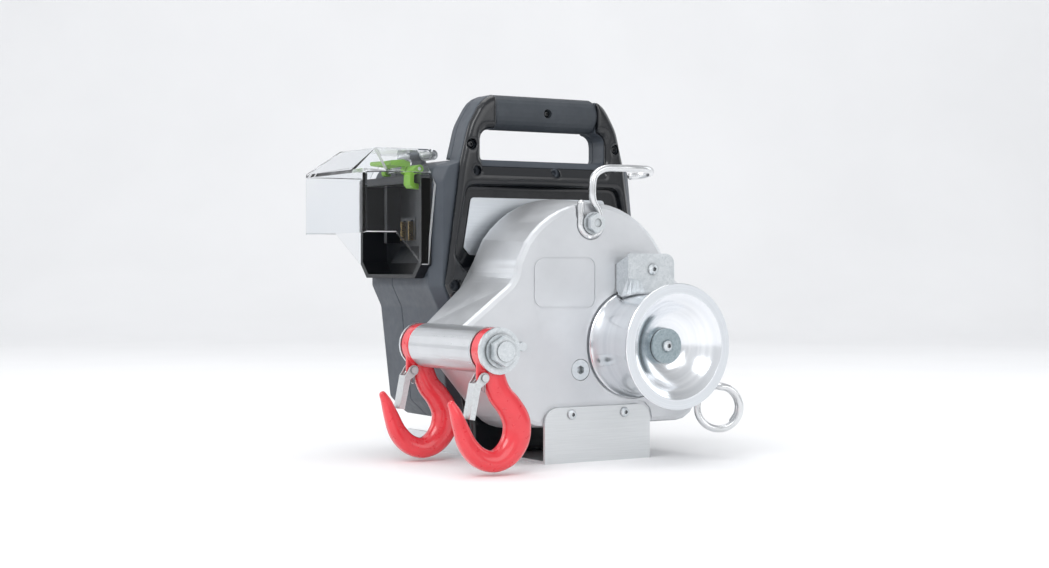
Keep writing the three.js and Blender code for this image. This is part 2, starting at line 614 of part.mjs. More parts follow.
function rearShell() {
  const body = loft([
    atY(bodyOutline(0), SEAM_REAR_Y),
    atY(bodyOutline(0), HOUSING_BACK_Y - 8),
    atY(bodyOutline(3), HOUSING_BACK_Y - 2.4),
    atY(bodyOutline(8), HOUSING_BACK_Y),
  ]);
  const feet = slabZ(rounded([[-46, 92, 3], [42, 92, 3], [42, 112, 3], [-46, 112, 3]], 3),
    PLATE.t + GAP, HOUSING_BOTTOM + 1);
  const vents = [];
  for (let i = 0; i < 7; i += 1) {
    const x = -42 + i * 12;
    vents.push(box(x, x + 5, HOUSING_BACK_Y - 6, HOUSING_BACK_Y + 2, 60, 105));
  }
  return cut(
    join(body, feet),
    innerRoom(SEAM_REAR_Y - 1, HOUSING_BACK_Y - 3.5),
    slabX(dockOpening(2.4), -104, -84),
    barY(BUTTON.x, BUTTON.z, BUTTON.radius + 0.6, HOUSING_BACK_Y - 8, HOUSING_BACK_Y + 2, 24),
    barY(DIAL.x, DIAL.z, 4.6, HOUSING_BACK_Y - 8, HOUSING_BACK_Y + 2, 16),
    ...vents,
  );
}
add('rear_shell', rearShell(), GREY);

function handleGrip() {
  const { y, z, radius, half, bar } = GRIP;
  const profile = [
    [bar + GAP, -half], [radius - 1, -half], [radius, -half + 2], [radius, half - 2], [radius - 1, half],
    [bar + GAP, half],
  ];
  const points = profile.map(([r, u]) => new THREE.Vector2(r, u));
  const geometry = new THREE.LatheGeometry([...points, points[0]], 24);
  geometry.rotateZ(-Math.PI / 2);
  geometry.translate(0, y, z);
  const sleeve = solid(geometry);
  return cut(
    sleeve,
    barY(GRIP_SCREW.x, GRIP_SCREW.z, 3.6, y - 20, y - 9.6, 16),
    barY(GRIP_SCREW.x, GRIP_SCREW.z, 2.2, y - 20, y, 10),
  );
}
add('handle_grip', handleGrip(), RUBBER);
add('grip_screw', buttonScrew(GRIP_SCREW.x, GRIP_SCREW.z, GRIP.y - 10, 3, 1.6, 1.8, 9), BLACK);
POST_SCREWS.forEach((at, i) => add(
  `post_screw_${i + 1}`, buttonScrew(at.x, at.z, SEAM_FRONT_Y - GAP, 3.6, 2.2, 1.8, 9), BLACK));

add('label_plate', slabY(rounded([
  [-73, 163, 2], [-67.5, 157, 2], [58, 157, 2], [63, 163, 2], [57, 201.8, 3], [-66.5, 201.8, 3],
], 3), SEAM_FRONT_Y + 2 - GAP - 0.8, SEAM_FRONT_Y + 2 - GAP), ZINC);

// ---------------------------------------------------------------- motor and electronics
add('motor', cut(
  join(
    barY(MOTOR.x, MOTOR.z, MOTOR.radius, MOTOR.frontY + 2, MOTOR.backY, 32),
    barY(MOTOR.x, MOTOR.z, 12, MOTOR.frontY - 8, MOTOR.frontY + 3, 20),
  ),
  barY(MOTOR.x, MOTOR.z, 4 + GAP, MOTOR.frontY - 9, MOTOR.backY + 1, 12),
), STEEL);
add('motor_shaft', barY(MOTOR.x, MOTOR.z, 3.9, -18, MOTOR.backY + 3, 12), STEEL);
add('control_board', join(
  box(12, 74, 40, 42, 70, 150),
  box(20, 48, 41, 56, 80, 100),
  box(54, 68, 41, 50, 112, 140),
  barY(34, 125, 8, 41, 62, 16),
), GREEN);
add('speed_dial', join(
  barY(DIAL.x, DIAL.z, DIAL.radius, HOUSING_BACK_Y + GAP, HOUSING_BACK_Y + 9, 28),
  barY(DIAL.x, DIAL.z, 4, HOUSING_BACK_Y - 7, HOUSING_BACK_Y + 1, 12),
  box(DIAL.x - 1.2, DIAL.x + 1.2, HOUSING_BACK_Y + 8, HOUSING_BACK_Y + 10.4, DIAL.z + 2, DIAL.z + 12),
), BLACK);
add('start_button', barY(
  BUTTON.x, BUTTON.z, BUTTON.radius, HOUSING_BACK_Y - 3, HOUSING_BACK_Y + 4, 24), GREEN);

// ---------------------------------------------------------------- battery dock
const TERMINALS_Y = [62, 75];
function batteryDock() {
  const { front, back, low, high, lip, wall, floor } = DOCK;
  const flange = slabX(rounded([
    [front + 11, low], [back - 11, low], [back, low + 11],
    [back, high, 3], [front, high, 3], [front, low + 11],
  ], 3), lip, wall - GAP);
  const tub = slabX(dockOpening(2), wall - 1, floor + 2.5);
  const room = slabX(dockOpening(0), lip - 1, floor);
  const rails = [40, 96].map((y) => box(floor - 12, floor + 1, y, y + 5, low + 28, high - 5));
  const ramp = slabY([[floor + 1, low + 12], [floor - 9, low + 12], [floor + 1, low + 27]], 46, 95);
  const terminalSeat = box(floor - 6, floor + 1, 58, 83, low + 30, low + 48);
  const slots = TERMINALS_Y.map((y) => box(floor - 7, floor - 1, y, y + 4, low + 29, low + 46));
  return cut(join(cut(join(flange, tub), room), ...rails, ramp, terminalSeat), ...slots);
}
add('battery_dock', batteryDock(), BLACK);
TERMINALS_Y.forEach((y, i) => add(
  `dock_terminal_${i + 1}`,
  box(DOCK.floor - 9, DOCK.floor - 1 - GAP, y + 1.4, y + 2.6, DOCK.low + 30, DOCK.low + 45),
  BRASS,
));

// release lever on top of the dock and the pawl that it lifts out of the battery; both turn on one pin
const LATCH = { x: -104, z: 223, pin: 1.5 };
add('latch_pin', barY(LATCH.x, LATCH.z, LATCH.pin, 28, 90, 10), STEEL);
function latchLever() {
  const pad = slabY(rounded([
    [-119, 227.2, 1], [-106, 226.2, 1], [-101.6, 226.6, 1],
    [-101.6, 229.6, 1], [-108, 231.5, 3], [-119, 230.4, 1],
  ], 2), 48, 88);
  const hub = join(
    barY(LATCH.x, LATCH.z, 3.2, 48, 54, 16),
    barY(LATCH.x, LATCH.z, 3.2, 82, 88, 16),
    box(LATCH.x - 2, LATCH.x + 2, 48, 54, LATCH.z, 228),
    box(LATCH.x - 2, LATCH.x + 2, 82, 88, LATCH.z, 228),
  );
  return cut(join(pad, hub), barY(LATCH.x, LATCH.z, LATCH.pin + GAP, 47, 93, 10));
}
add('latch_lever', latchLever(), GREEN);
function batteryPawl() {
  const arm = slabY(rounded([
    [-104, 225.4], [-108, 224, 1], [-112.4, 219, 1], [-112.4, 211, 1], [-110, 208.6, 1], [-96, 207.8, 1],
    [-89.8, 204.6, 1], [-88.6, 207.4, 1], [-95, 211.8, 1], [-109.2, 212.4, 0.5], [-109.2, 219, 1],
    [-104, 220.8],
  ], 2), 27, 38);
  const hub = barY(LATCH.x, LATCH.z, 3.2, 27, 44, 16);
  return cut(join(arm, hub), barY(LATCH.x, LATCH.z, LATCH.pin + GAP, 26, 45, 10));
}
add('battery_pawl', batteryPawl(), GREEN);

// clear rain cover over the dock, open underneath, hinged on the housing
function batteryCover() {
  const { left, right, front, back, eave, ridge, wall } = COVER;
  const section = (top, inset, tuck) => [
    [left + inset, 173.8 + inset / 2], [-129.8, 173.8 + inset / 2], [-107.6, 149 + inset / 2],
    [-102.2, 149 + inset / 2], [tuck - 3.4, 180], [tuck, 211], [right - inset, top - inset],
    [left + 21, top - inset], [left + inset, eave - inset],
  ];
  const outer = loft([
    atY(section(eave + 0.1, 2.5, -96), front),
    atY(section(eave + 0.1, 0, -97.6), front + 3),
    atY(section(ridge, 0, -100.4), front + 23),
    atY(section(ridge, 0, -100.4), back - 23),
    atY(section(eave + 0.1, 0, -99), back - 3),
    atY(section(eave + 0.1, 2.5, -98.5), back),
  ]);
  const inside = (top) => [
    [left + wall, 130], [-80, 130], [-80, top - wall],
    [left + 20, top - wall], [left + wall, eave - wall - 0.5],
  ];
  const inner = loft([
    atY(inside(eave + 0.1), front + wall),
    atY(inside(eave + 0.1), front + 3.5),
    atY(inside(ridge), front + 24),
    atY(inside(ridge), back - 24),
    atY(inside(eave + 0.1), back - 3.5),
    atY(inside(eave + 0.1), back - wall),
  ]);
  const tongue = box(right - 2, HINGE.x - 3, front + 24, back - 24, ridge - wall, ridge);
  const knuckles = [[44, 60.5], [80.5, 100]].map(([y0, y1]) => join(
    barY(HINGE.x, HINGE.z, HINGE.knuckle, y0, y1, 16),
    box(HINGE.x - 5, HINGE.x, y0, y1, ridge - wall, ridge),
  ));
  return cut(
    join(cut(outer, inner), tongue, ...knuckles),
    barY(HINGE.x, HINGE.z, HINGE.pin + GAP, 40, 104, 10),
    box(HINGE.x - 9, HINGE.x + 6, 60.5, 80.5, ridge - 9, ridge + 3),
  );
}
add('battery_cover', batteryCover(), CLEAR);
add('cover_hinge_pin', barY(HINGE.x, HINGE.z, HINGE.pin, 43, 101, 10), STEEL);

// ---------------------------------------------------------------- base plate
function basePlate() {
  const { left, right, tabLeft, tabRight, frontY, backY, t } = PLATE;
  const floor = slabZ([
    [tabLeft, frontY], [tabRight, frontY], [tabRight, 8], [right, 8], [right, backY], [left, backY],
    [left, 8], [tabLeft, 8],
  ], 0, t);
  const flange = slabY(rounded([
    [tabLeft, 0], [tabRight, 0], [tabRight, 42, 11], [tabLeft, 42, 11],
  ], 5), frontY, frontY + t);
  const sides = [[left, left + t], [right - t, right]].map(([x0, x1]) => box(x0, x1, 12.2, backY, 0, 14));
  return cut(
    join(floor, flange, ...sides),
    ...BASE_SCREWS.map((at) => barY(at.x, at.z, 2.8, frontY - 1, frontY + t + 1, 12)),
  );
}
add('base_plate', basePlate(), STEEL);
BASE_SCREWS.forEach((at, i) => add(
  `base_screw_${i + 1}`, buttonScrew(at.x, at.z, PLATE.frontY - GAP, 4, 2.2, 2, 6), ZINC));

// ---------------------------------------------------------------- rope keeper over the drum
const KEEPER = {
  left: 19.6, right: 62.7, frontY: -77, top: 158, t: 1.8,
  crease: 140, lipEnd: 40, low: 128.3,           // drawn corner over the barrel
};

// radius of the drum's groove at each depth, next to its rear flange
const grooveRadius = (y) => DRUM.barrel + 2.1 * THREE.MathUtils.clamp((y + 73) / 9, 0, 1) ** 2;

function ropeKeeper() {
  const { left, right, frontY, top, crease, lipEnd, low, t } = KEEPER;
  const clearance = 1;
  const creaseAt = (x) => crease - 0.24 * (x - left);
  const face = slabY(rounded([
    [left, creaseAt(left)], [lipEnd, creaseAt(lipEnd)], [lipEnd, low],
    [right, low], [right, top, 8], [left, top, 3],
  ], 4), frontY, frontY + t);
  const web = slabX([
    [frontY, crease - 0.5], [-67, 125.6], [-64.2, 126.6], [-63, 128.6], [FACE_Y - GAP, 131.4],
    [FACE_Y - GAP, 150],
    [frontY, top - 1.5],
  ], left, left + t);
  // the lower left corner is drawn back to the web, so that rope slides off it onto the barrel
  const rings = [0, 0.15, 0.3, 0.45, 0.6, 0.8, 1].map((share) => {
    const x = left + share * (lipEnd - left);
    const y = -67 - (9.6 * (1 - (1 - share) ** 2));
    const z = DRUM.z + Math.sqrt((grooveRadius(y) + clearance) ** 2 - (x - DRUM.x) ** 2);
    return [[frontY, creaseAt(x)], [y - 0.4, z], [y + 1, z + 1], [frontY + t, creaseAt(x) + 0.6]]
      .map(([along, up]) => new THREE.Vector3(x, along, up));
  });
  return cut(
    join(face, web, loft(rings)),
    barY(BRACKET_SCREW.x, BRACKET_SCREW.z, 2.8, frontY - 1, frontY + t + 1, 16),
  );
}
add('rope_keeper', ropeKeeper(), ZINC);
add('keeper_screw', buttonScrew(
  BRACKET_SCREW.x, BRACKET_SCREW.z, KEEPER.frontY - GAP, 4.4, 2.4, 2, 12), ZINC);

// ---------------------------------------------------------------- rope guides of bent rod
const ROD = 2.75;
function flangeBolt(at, seatY) {
  const body = join(
    barY(at.x, at.z, 8.6, seatY - 1.8, seatY, 20),
    hexBar(at.x, at.z, 13, seatY - 7, seatY - 1.5),
    barY(at.x, at.z, 3.9, seatY - 1, seatY + 9.4, 10),
  );
  return cut(body, barY(at.x, at.z, 3.4, seatY - 8, seatY - 6, 12));
}

// eye of rod around a bolt, from one angle to another, in the plane y
function eyePoints(at, radius, y, fromDeg, toDeg, count) {
  return arc(at.x, at.z, radius, fromDeg, toDeg, count).map(([x, z]) => new THREE.Vector3(x, y, z));
}

const ROD_Y = FACE_Y + 3 - ROD - GAP;
function upperRopeHook() {
  const path = new THREE.CatmullRomCurve3([
    new THREE.Vector3(-11.6, ROD_Y, 197),
    new THREE.Vector3(-12.4, ROD_Y, 189),
    ...eyePoints(UPPER_BOLT, 9.5, ROD_Y, 165, 378, 8),
    new THREE.Vector3(3.2, ROD_Y - 0.4, 191),
    new THREE.Vector3(-1.6, ROD_Y - 1.2, 198),
    new THREE.Vector3(-2.6, ROD_Y - 1.6, 208),
    new THREE.Vector3(-0.6, ROD_Y - 1.6, 217),
    new THREE.Vector3(7, ROD_Y - 1.6, 222.3),
    new THREE.Vector3(22, ROD_Y - 1.6, 223.4),
    new THREE.Vector3(38, ROD_Y - 1.6, 223.6),
    new THREE.Vector3(50, ROD_Y + 1, 223.4),
    new THREE.Vector3(58, ROD_Y + 8, 222.4),
    new THREE.Vector3(60.5, ROD_Y + 15, 221),
    new THREE.Vector3(56, ROD_Y + 21, 219.6),
    new THREE.Vector3(48, ROD_Y + 22, 219),
  ], false, 'centripetal');
  return wire(path, ROD, 48, 7);
}
add('upper_rope_hook', upperRopeHook(), STEEL);
add('upper_hook_bolt', flangeBolt(UPPER_BOLT, FACE_Y - 2 * ROD + 3 - 2 * GAP), ZINC);

const RING = { x: 97, y: -88, z: 38.8, radius: 16.6, turnDeg: -24 };
function lowerRopeRing() {
  const side = new THREE.Vector2(
    Math.cos(THREE.MathUtils.degToRad(RING.turnDeg)), Math.sin(THREE.MathUtils.degToRad(RING.turnDeg)));
  const points = [];
  const turns = 1.45;
  const count = 20;
  for (let k = 0; k <= count; k += 1) {
    const share = k / count;
    const angle = THREE.MathUtils.degToRad(118) - share * turns * 2 * Math.PI;
    const u = RING.radius * Math.cos(angle);
    const depth = (0.5 - share) * 9.5;
    points.push(new THREE.Vector3(
      RING.x + side.x * u + side.y * depth,
      RING.y + side.y * u - side.x * depth,
      RING.z + RING.radius * Math.sin(angle),
    ));
  }
  const path = new THREE.CatmullRomCurve3([
    ...eyePoints(LOWER_BOLT, 9.5, ROD_Y, 60, 312, 8),
    new THREE.Vector3(91.9, ROD_Y - 1, 56),
    new THREE.Vector3(93.8, ROD_Y - 5, 58),
    new THREE.Vector3(92.4, ROD_Y - 11, 59),
    ...points.slice(1),
  ], false, 'centripetal');
  return wire(path, ROD, 58, 7);
}
add('lower_rope_ring', lowerRopeRing(), STEEL);
add('lower_ring_bolt', flangeBolt(LOWER_BOLT, FACE_Y - 2 * ROD + 3 - 2 * GAP), ZINC);

// ---------------------------------------------------------------- anchor bolt, washers, nut
const ring = (radius, bore, y0, y1) => cut(
  barY(ANCHOR.x, ANCHOR.z, radius, y0, y1, 24),
  barY(ANCHOR.x, ANCHOR.z, bore, y0 - 1, y1 + 1, 14),
);
const BOLT_BORE = ANCHOR.bolt + GAP;
const eyeFront = FRONT_HOOK_Y - HOOK_EYE.half;
const eyeBack = REAR_HOOK_Y + HOOK_EYE.half;
add('anchor_washer_front', ring(16.76, BOLT_BORE, eyeFront - GAP - 2.5, eyeFront - GAP), ZINC);
add('anchor_washer_inner', ring(
  16.76, BOLT_BORE, FRONT_HOOK_Y + HOOK_EYE.half + GAP, ANCHOR.frontY - GAP), ZINC);
add('anchor_washer_rear', ring(16.76, BOLT_BORE, eyeBack + GAP, eyeBack + GAP + 2.2), ZINC);
const headSeat = eyeFront - 2 * GAP - 2.5;
add('anchor_bolt', join(
  barY(ANCHOR.x, ANCHOR.z, 12, headSeat - 2, headSeat, 20),
  hexBar(ANCHOR.x, ANCHOR.z, 18.5, headSeat - 8, headSeat - 1),
  barY(ANCHOR.x, ANCHOR.z, 7.2, headSeat - 9, headSeat - 7, 16),
  barY(ANCHOR.x, ANCHOR.z, ANCHOR.bolt, headSeat - 1, eyeBack + 14, 14),
), ZINC);
add('anchor_nut', cut(
  hexBar(ANCHOR.x, ANCHOR.z, 19, eyeBack + GAP * 2 + 2.2, eyeBack + 12),
  barY(ANCHOR.x, ANCHOR.z, BOLT_BORE, 0, 40, 14),
), ZINC);

// ---------------------------------------------------------------- hooks and latches
// centre line of the hook from neck to tip: [x, z, half-width, half-thickness] from the eye centre
const HOOK_LINE = [
  [-2, -11, 8.6, 5.5], [-0.5, -19, 8.6, 5.7], [4, -30.5, 8.9, 6.5], [12, -40, 9.4, 7.2],
  [18, -51.5, 10.3, 7.8], [17, -63.8, 10.4, 7.8], [9.8, -73.7, 9.4, 7.8], [-1, -78.4, 7.9, 7.6],
  [-12.4, -75, 7.5, 7], [-21.4, -65.9, 6.9, 6.4], [-27.2, -53, 5.6, 5.2],
  [-31.2, -42.6, 4.1, 4], [-34.6, -36.2, 2.6, 2.4],
];
const HOOK_PIN = { x: -10.6, z: -18.9 };
// ears of the latch: radius, and inner and outer face from the hook's middle plane
const LATCH_EAR = { radius: 3.9, inner: 3.9, outer: 5.1 };
const LUG_HALF = 1.5;

function hookBody() {
  const sides = 10;
  const rings = HOOK_LINE.map(([x, z, width, thick], i) => {
    const before = HOOK_LINE[Math.max(0, i - 1)];
    const after = HOOK_LINE[Math.min(HOOK_LINE.length - 1, i + 1)];
    const along = new THREE.Vector2(after[0] - before[0], after[1] - before[1]).normalize();
    return arc(0, 0, 1, 0, 360 - 360 / sides, sides - 1).map(([c, s]) => new THREE.Vector3(
      x - along.y * c * width, s * thick, z + along.x * c * width));
  });
  // lug for the latch pin, and the room beside it for the spring's coils and the latch's ears
  const lug = slabY([
    [-14.4, -6], ...arc(HOOK_PIN.x, HOOK_PIN.z, 3.9, 180, 300, 6), [0, -25], [2, -12],
  ], -LUG_HALF, LUG_HALF);
  const room = (radius, from) => [[from, 9], [-9, -from]]
    .map(([y0, y1]) => barY(HOOK_PIN.x, HOOK_PIN.z, radius, y0, y1, 14));
  const eye = barY(0, 0, HOOK_EYE.radius, -HOOK_EYE.half, HOOK_EYE.half, 28);
  return cut(
    join(cut(join(loft(rings), eye), ...room(3.6, LUG_HALF), ...room(4.5, 3.6)), lug),
    barY(0, 0, BOLT_BORE, -12, 12, 14),
    barY(HOOK_PIN.x, HOOK_PIN.z, 1.5 + GAP, -12, 12, 10),
  );
}

// channel-shaped safety latch that closes the throat against the inside of the tip
function latchBody() {
  const reach = 30.4;
  const sheet = 1.2;
  const { radius, inner, outer } = LATCH_EAR;
  const lean = Math.atan2(-4.9, 24.8);
  const turn = ([along, across]) => [
    HOOK_PIN.x + along * Math.sin(lean) - across * Math.cos(lean),
    HOOK_PIN.z - along * Math.cos(lean) - across * Math.sin(lean),
  ];
  const ear = [
    ...arc(0, 0, radius, 110, 300, 7),
    [4.6, -1], [7.4, 1.6], [reach, 2], [reach, 6.3], [5, 6.3], [1.6, 4.6],
  ].map(turn);
  const web = [[5, 6.3 - sheet], [reach, 6.3 - sheet], [reach, 6.3], [5, 6.3]].map(turn);
  const cheeks = [[inner, outer], [-outer, -inner]].map(([y0, y1]) => slabY(ear, y0, y1));
  return cut(
    join(...cheeks, slabY(web, -outer, outer)),
    barY(HOOK_PIN.x, HOOK_PIN.z, 1.5 + GAP, -12, 12, 10),
  );
}

function latchPin() {
  const seat = LATCH_EAR.outer + GAP;
  return join(
    barY(HOOK_PIN.x, HOOK_PIN.z, 1.5, -seat - 0.5, seat + 0.5, 8),
    barY(HOOK_PIN.x, HOOK_PIN.z, 2.6, -seat - 1, -seat, 12),
    barY(HOOK_PIN.x, HOOK_PIN.z, 2.6, seat, seat + 1, 12),
  );
}

// double torsion spring: a coil on each side of the lug, joined by a loop that rests on the hook
function latchSpring() {
  const coil = arc(0, 0, 2.6, 200, -30, 8);
  const half = [[-5.2, 3.3, -3.4], [-3.4, 3.3, -2.2]].concat(
    coil.map(([x, z], i) => [x, 3.3 - 1.05 * (i / 8), z]),
    [[1.9, 2.3, -4.6], [1.7, 2.4, -8.2]],
  );
  const mirrored = half.map(([x, y, z]) => [x, -y, z]).reverse();
  const bridge = [[1.6, 1.6, -10], [1.6, -1.6, -10]];
  const points = [...half, ...bridge, ...mirrored]
    .map(([x, y, z]) => new THREE.Vector3(HOOK_PIN.x + x, y, HOOK_PIN.z + z));
  return wire(new THREE.CatmullRomCurve3(points, false, 'centripetal'), 0.45, 44, 5);
}

for (const [name, y] of [['front', FRONT_HOOK_Y], ['rear', REAR_HOOK_Y]]) {
  const group = new THREE.Group();
  group.position.set(ANCHOR.x, y, ANCHOR.z);
  root.add(group);
  add(`${name}_hook`, hookBody(), RED, group);
  add(`${name}_hook_latch`, latchBody(), ZINC, group);
  add(`${name}_latch_pin`, latchPin(), ZINC, group);
  add(`${name}_latch_spring`, latchSpring(), STEEL, group);
}

// ---------------------------------------------------------------- plugs in the case
add('oil_plug', cut(
  join(
    barY(OIL_PLUG.x, OIL_PLUG.z, 7.9, FACE_Y + 0.2, FACE_Y + 3.2, 20),
    barY(OIL_PLUG.x, OIL_PLUG.z, 4.9, FACE_Y + 3, FACE_Y + 8.5, 12),
  ),
  hexBar(OIL_PLUG.x, OIL_PLUG.z, 6, FACE_Y - 1, FACE_Y + 4),
), ZINC);
add('vent_plug', join(
  barY(VENT_PLUG.x, VENT_PLUG.z, 3.4, FACE_Y - GAP - 3.4, FACE_Y - GAP, 16),
  barY(VENT_PLUG.x, VENT_PLUG.z, 2.4, FACE_Y - 1, FACE_Y + 8, 10),
), ZINC);

export default root;
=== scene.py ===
"""Looks of the portable capstan rope puller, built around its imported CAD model."""

import math

import bpy
from mathutils import Matrix, Vector


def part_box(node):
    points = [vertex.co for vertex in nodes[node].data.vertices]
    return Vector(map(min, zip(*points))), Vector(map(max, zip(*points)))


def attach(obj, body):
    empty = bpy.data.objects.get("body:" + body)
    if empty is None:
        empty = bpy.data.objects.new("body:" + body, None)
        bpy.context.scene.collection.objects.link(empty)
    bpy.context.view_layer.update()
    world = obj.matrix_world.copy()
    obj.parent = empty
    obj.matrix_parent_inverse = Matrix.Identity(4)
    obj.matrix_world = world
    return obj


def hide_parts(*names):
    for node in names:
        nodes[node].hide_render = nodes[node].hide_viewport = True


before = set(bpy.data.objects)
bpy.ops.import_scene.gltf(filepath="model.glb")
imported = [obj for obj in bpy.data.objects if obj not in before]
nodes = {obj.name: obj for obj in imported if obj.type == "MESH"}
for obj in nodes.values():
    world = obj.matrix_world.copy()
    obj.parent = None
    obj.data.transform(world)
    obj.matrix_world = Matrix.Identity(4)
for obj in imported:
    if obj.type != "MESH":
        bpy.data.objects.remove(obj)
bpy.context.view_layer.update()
scene = bpy.context.scene
MM = 0.001
VIEW_TURN = math.radians(-30.93)


# ---------------------------------------------------------------- camera, as in the photograph
def make_camera():
    data = bpy.data.cameras.new("camera")
    data.sensor_width = 36.0
    data.lens = 58.84
    data.clip_start = 0.05
    data.clip_end = 20.0
    camera = bpy.data.objects.new("camera", data)
    camera.location = (-0.71558, -1.15129, 0.14687)
    camera.rotation_euler = (math.radians(89.47), 0.0, VIEW_TURN)
    scene.collection.objects.link(camera)
    scene.camera = camera


make_camera()


# ---------------------------------------------------------------- shader helpers
class Shader:
    """A material under construction: short calls that add nodes and link them."""

    def __init__(self, name):
        self.material = bpy.data.materials.new(name)
        self.material.use_nodes = True
        self.tree = self.material.node_tree
        self.bsdf = self.tree.nodes["Principled BSDF"]
        self.place = self.tree.nodes.new("ShaderNodeTexCoord").outputs["Object"]

    def node(self, kind, **values):
        made = self.tree.nodes.new(kind)
        for key, value in values.items():
            setattr(made, key, value)
        return made

    def link(self, source, target):
        self.tree.links.new(source, target)

    def set(self, **values):
        names = {"metallic": "Metallic", "coat": "Coat Weight", "coat_rough": "Coat Roughness",
                 "transmission": "Transmission Weight", "ior": "IOR", "roughness": "Roughness",
                 "specular": "Specular IOR Level"}
        for key, value in values.items():
            self.bsdf.inputs[names[key]].default_value = value
        return self

    def stretched(self, x, y, z):
        mapping = self.node("ShaderNodeMapping")
        mapping.inputs["Scale"].default_value = (x, y, z)
        self.link(self.place, mapping.inputs["Vector"])
        return mapping.outputs["Vector"]

    def noise(self, scale, detail=3.0, rough=0.55, vector=None):
        made = self.node("ShaderNodeTexNoise")
        made.inputs["Scale"].default_value = scale
        made.inputs["Detail"].default_value = detail
        made.inputs["Roughness"].default_value = rough
        self.link(vector or self.place, made.inputs["Vector"])
        return made.outputs["Fac"]

    def cells(self, scale):
        made = self.node("ShaderNodeTexVoronoi")
        made.inputs["Scale"].default_value = scale
        self.link(self.place, made.inputs["Vector"])
        return made.outputs["Color"]

    def ramp(self, source, stops):
        made = self.node("ShaderNodeValToRGB")
        elements = made.color_ramp.elements
        while len(elements) < len(stops):
            elements.new(0.5)
        for element, (position, value) in zip(elements, stops):
            element.position = position
            element.color = (*value, 1.0) if isinstance(value, tuple) else (value, value, value, 1.0)
        self.link(source, made.inputs["Fac"])
        return made.outputs["Color"]

    def maths(self, operation, a, b):
        made = self.node("ShaderNodeMath", operation=operation)
        for socket, value in zip(made.inputs, (a, b)):
            if isinstance(value, (int, float)):
                socket.default_value = value
            else:
                self.link(value, socket)
        return made.outputs[0]

    def spread(self, source, low, high):
        made = self.node("ShaderNodeMapRange")
        made.inputs["From Min"].default_value = 0.3
        made.inputs["From Max"].default_value = 0.7
        made.inputs["To Min"].default_value = low
        made.inputs["To Max"].default_value = high
        self.link(source, made.inputs["Value"])
        return made.outputs["Result"]

    def colour(self, source, dark, light, low=0.3, high=0.7, recess_shade=0.0):
        """Colour varying with the source; the last argument paints shade into recesses up to that depth in
        metres, an ambient occlusion darkening of the colour.
        """
        shade = self.ramp(source, [(low, dark), (high, light)])
        # painted shade: ambient occlusion darkens the colour in recesses
        if recess_shade:
            recess = self.node("ShaderNodeAmbientOcclusion", samples=6)
            recess.inputs["Distance"].default_value = recess_shade
            self.link(shade, recess.inputs["Color"])
            shade = recess.outputs["Color"]
        self.link(shade, self.bsdf.inputs["Base Color"])
        return self

    def rough(self, source, low, high):
        self.link(self.spread(source, low, high), self.bsdf.inputs["Roughness"])
        return self

    def bump(self, *layers):
        """Layers are (height, strength, depth in metres), finest first."""
        normal = None
        for height, strength, depth in layers:
            made = self.node("ShaderNodeBump")
            made.inputs["Strength"].default_value = strength
            made.inputs["Distance"].default_value = depth
            self.link(height, made.inputs["Height"])
            if normal:
                self.link(normal, made.inputs["Normal"])
            normal = made.outputs["Normal"]
        self.link(normal, self.bsdf.inputs["Normal"])
        return self

    def radius_about(self, x, z):
        """Distance from an axis along Y, and the place along it."""
        parts = self.node("ShaderNodeSeparateXYZ")
        self.link(self.place, parts.inputs["Vector"])
        dx = self.maths("SUBTRACT", parts.outputs["X"], x)
        dz = self.maths("SUBTRACT", parts.outputs["Z"], z)
        square = self.maths("ADD", self.maths("MULTIPLY", dx, dx), self.maths("MULTIPLY", dz, dz))
        return self.maths("SQRT", square, 0.0), parts.outputs["Y"]

    def turned_lines(self, x, z, pitch):
        """Fine rings left by a lathe tool, as a noise of radius and length only."""
        radius, along = self.radius_about(x, z)
        joined = self.node("ShaderNodeCombineXYZ")
        self.link(radius, joined.inputs["X"])
        self.link(along, joined.inputs["Y"])
        return self.noise(1.0 / pitch, 2.0, 0.5, joined.outputs["Vector"])


# ---------------------------------------------------------------- materials
def cast_aluminium(tube_x, tube_z, tube_radius):
    """Blasted casting; the machined anchor tube is smoother and drawn lengthways."""
    s = Shader("cast_aluminium").set(metallic=0.8)
    grain = s.noise(1100.0, 2.0)
    cloud = s.noise(22.0, 4.0)
    s.colour(cloud, (0.60, 0.615, 0.635), (0.68, 0.695, 0.715))
    radius, _ = s.radius_about(tube_x, tube_z)
    tube = s.maths("LESS_THAN", radius, tube_radius + 0.0003)
    drawn = s.noise(1.0, 3.0, 0.6, s.stretched(500.0, 12.0, 500.0))
    blasted = s.spread(s.noise(90.0, 4.0), 0.40, 0.50)
    machined = s.spread(drawn, 0.27, 0.33)
    level = s.maths("ADD", blasted, s.maths("MULTIPLY", tube, s.maths("SUBTRACT", machined, blasted)))
    s.link(level, s.bsdf.inputs["Roughness"])
    return s.bump((grain, 0.12, 0.0002), (s.noise(420.0, 3.0), 0.08, 0.0004)).material


def turned_aluminium(x, z):
    s = Shader("turned_aluminium").set(metallic=1.0)
    lines = s.turned_lines(x, z, 0.0012)
    broad = s.turned_lines(x, z, 0.004)
    s.colour(broad, (0.78, 0.80, 0.83), (0.88, 0.895, 0.915))
    s.rough(broad, 0.16, 0.22)
    return s.bump((lines, 0.025, 0.0001)).material


def turned_face(x, z):
    """The dulled rim of the drum."""
    s = Shader("turned_face").set(metallic=0.9)
    lines = s.turned_lines(x, z, 0.0012)
    s.colour(lines, (0.70, 0.73, 0.76), (0.78, 0.805, 0.835))
    s.rough(s.noise(160.0), 0.42, 0.52)
    return s.bump((lines, 0.06, 0.0001)).material


